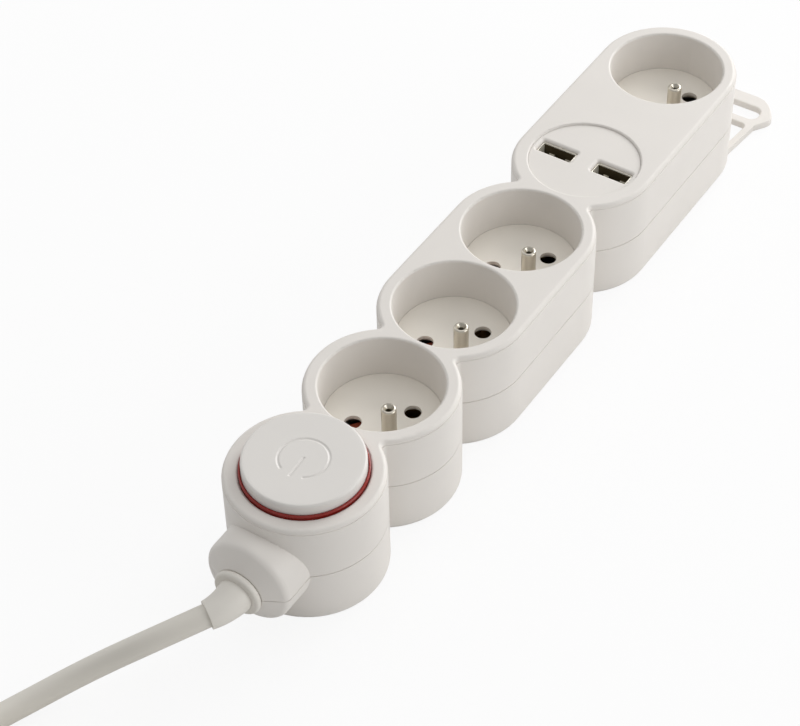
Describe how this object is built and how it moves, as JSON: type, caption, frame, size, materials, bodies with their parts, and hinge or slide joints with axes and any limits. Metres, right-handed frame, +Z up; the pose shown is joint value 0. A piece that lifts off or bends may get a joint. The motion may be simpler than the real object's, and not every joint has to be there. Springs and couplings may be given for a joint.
{
  "type": "power strip",
  "caption": "Row-shaped mains power strip with round recessed sockets, charging ports, a push switch, a lead with plug and a hanging loop.",
  "frame": {"origin": "middle of the housing's flat base, on the row's axis", "axes": "+X from the switch towards the hanging loop, +Z up out of the sockets"},
  "size_m": [0.5484, 0.0982, 0.0445],
  "materials": {
    "housing_white": "fine-textured warm white moulded plastic",
    "button_white": "smooth white cap",
    "ring_red": "translucent red light ring",
    "pin_nickel": "nickel-plated brass",
    "port_metal": "stamped bright tin plate",
    "tongue_black": "black moulded plastic",
    "shutter_red": "brick-red moulded plastic",
    "bar_brass": "stamped brass strip",
    "spring_steel": "spring steel",
    "switch_black": "black moulded plastic",
    "lamp_glass": "small glow lamp",
    "board_green": "glass-fibre circuit board",
    "core_yellow": "taped transformer",
    "can_dark": "sleeved capacitor cans",
    "screw_steel": "zinc-plated steel",
    "cord_white": "smooth white flexible PVC",
    "sleeve_white": "soft white PVC",
    "wire_brown": "brown insulation",
    "wire_blue": "blue insulation",
    "wire_green": "green and yellow insulation",
    "plug_white": "white moulded plug",
    "pin_brass": "nickel-plated plug pins"
  },
  "bodies": {
    "housing": {"top_housing": "housing_white", "bottom_housing": "housing_white", "light_ring": "ring_red", "button_spring": "spring_steel", "switch_module": "switch_black", "switch_terminals": "bar_brass", "indicator_lamp": "lamp_glass", "live_bar": "bar_brass", "neutral_bar": "bar_brass", "earth_bar": "bar_brass", "usb_cover": "housing_white", "charger_board": "board_green", "transformer": "core_yellow", "capacitors": "can_dark", "case_screws": "screw_steel", "cord_clamp": "switch_black", "clamp_screws": "screw_steel", "cord_sleeve": "sleeve_white", "cord_sheath": "cord_white", "live_wires": "wire_brown", "neutral_wires": "wire_blue", "earth_wire": "wire_green", "cord": "cord_white", "cord_coil": "cord_white", "cord_tail": "cord_white", "plug_body": "plug_white", "plug_relief": "sleeve_white", "plug_pins": "pin_brass", "socket_floor_1": "housing_white", "earth_pin_1": "pin_nickel", "socket_floor_2": "housing_white", "earth_pin_2": "pin_nickel", "socket_floor_3": "housing_white", "earth_pin_3": "pin_nickel", "socket_floor_4": "housing_white", "earth_pin_4": "pin_nickel", "usb_shell_1": "port_metal", "usb_tongue_1": "tongue_black", "usb_shell_2": "port_metal", "usb_tongue_2": "tongue_black"},
    "button": {"push_button": "button_white", "switch_plunger": "switch_black"},
    "shutter_1": {"shutter_1": "shutter_red"},
    "shutter_2": {"shutter_2": "shutter_red"},
    "shutter_3": {"shutter_3": "shutter_red"},
    "shutter_4": {"shutter_4": "shutter_red"}
  },
  "joints": [
    {"name": "button_press", "type": "slide", "parent": "housing", "child": "button", "axis": [0, 0, -1], "range_m": [0, 0.003], "stiffness_N_per_m": 900, "springref_m": -0.002, "deforming": ["button_spring"]},
    {"name": "shutter_1_turn", "type": "hinge", "parent": "housing", "child": "shutter_1", "pos_m": [-0.07075, 0, 0.0208], "axis": [0, 0, 1], "range_deg": [0, 33], "stiffness_Nm_per_rad": 0.004, "springref_deg": -11.46},
    {"name": "shutter_2_turn", "type": "hinge", "parent": "housing", "child": "shutter_2", "pos_m": [-0.02925, 0, 0.0208], "axis": [0, 0, 1], "range_deg": [0, 33], "stiffness_Nm_per_rad": 0.004, "springref_deg": -11.46},
    {"name": "shutter_3_turn", "type": "hinge", "parent": "housing", "child": "shutter_3", "pos_m": [0.01225, 0, 0.0208], "axis": [0, 0, 1], "range_deg": [0, 33], "stiffness_Nm_per_rad": 0.004, "springref_deg": -11.46},
    {"name": "shutter_4_turn", "type": "hinge", "parent": "housing", "child": "shutter_4", "pos_m": [0.11225, 0, 0.0208], "axis": [0, 0, 1], "range_deg": [0, 33], "stiffness_Nm_per_rad": 0.004, "springref_deg": -11.46}
  ]
}
